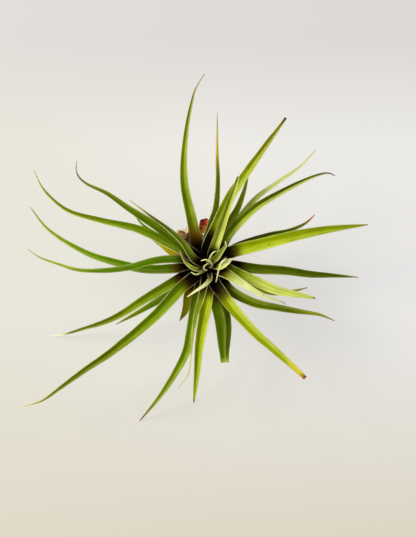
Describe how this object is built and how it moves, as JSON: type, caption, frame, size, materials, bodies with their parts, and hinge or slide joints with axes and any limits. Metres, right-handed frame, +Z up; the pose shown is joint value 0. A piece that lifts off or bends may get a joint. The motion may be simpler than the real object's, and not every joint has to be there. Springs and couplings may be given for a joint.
{
  "type": "air plant",
  "caption": "Rosette of long channelled strap leaves on a short leaning stem, with dried husks and a flat pad of wiry roots that it rests on.",
  "frame": {"origin": "middle of the flat underside of the root pad, on the surface that the plant lies on", "axes": "+Z up from the surface, out of the heart of the rosette; +X and +Y lie along the surface, and the stem leans from the roots towards +X and -Y"},
  "size_m": [0.2538, 0.257, 0.0836],
  "materials": {
    "green_leaf": "satin leaf skin",
    "dark_leaf": "satin leaf skin",
    "light_leaf": "satin leaf skin",
    "young_leaf": "soft scaly leaf skin",
    "old_leaf": "dry satin leaf skin",
    "rust_husk": "dry papery husk",
    "tan_husk": "dry papery husk",
    "stem_wood": "rough dark bark",
    "root_tan": "dry wiry root"
  },
  "bodies": {
    "root": {"roots": "root_tan", "stem": "stem_wood", "leaf_01": "green_leaf", "leaf_02": "green_leaf", "leaf_03": "green_leaf", "leaf_04": "light_leaf", "leaf_05": "dark_leaf", "leaf_06": "light_leaf", "leaf_07": "dark_leaf", "leaf_08": "dark_leaf", "leaf_09": "light_leaf", "leaf_10": "dark_leaf", "leaf_11": "light_leaf", "leaf_12": "old_leaf", "leaf_13": "light_leaf", "leaf_14": "dark_leaf", "leaf_15": "light_leaf", "leaf_16": "dark_leaf", "leaf_17": "green_leaf", "leaf_18": "light_leaf", "leaf_19": "green_leaf", "leaf_20": "dark_leaf", "leaf_21": "green_leaf", "leaf_22": "green_leaf", "leaf_23": "dark_leaf", "leaf_24": "green_leaf", "leaf_25": "green_leaf", "leaf_26": "green_leaf", "leaf_27": "green_leaf", "leaf_28": "green_leaf", "leaf_29": "green_leaf", "leaf_30": "old_leaf", "young_leaf_1": "young_leaf", "young_leaf_2": "young_leaf", "young_leaf_3": "young_leaf", "young_leaf_4": "young_leaf", "young_leaf_5": "young_leaf", "young_leaf_6": "young_leaf", "young_leaf_7": "young_leaf", "young_leaf_8": "young_leaf", "young_leaf_9": "young_leaf", "dry_sheath_1": "rust_husk", "dry_sheath_2": "tan_husk", "dry_sheath_3": "tan_husk", "dry_sheath_4": "rust_husk", "dry_sheath_5": "tan_husk"}
  },
  "joints": []
}
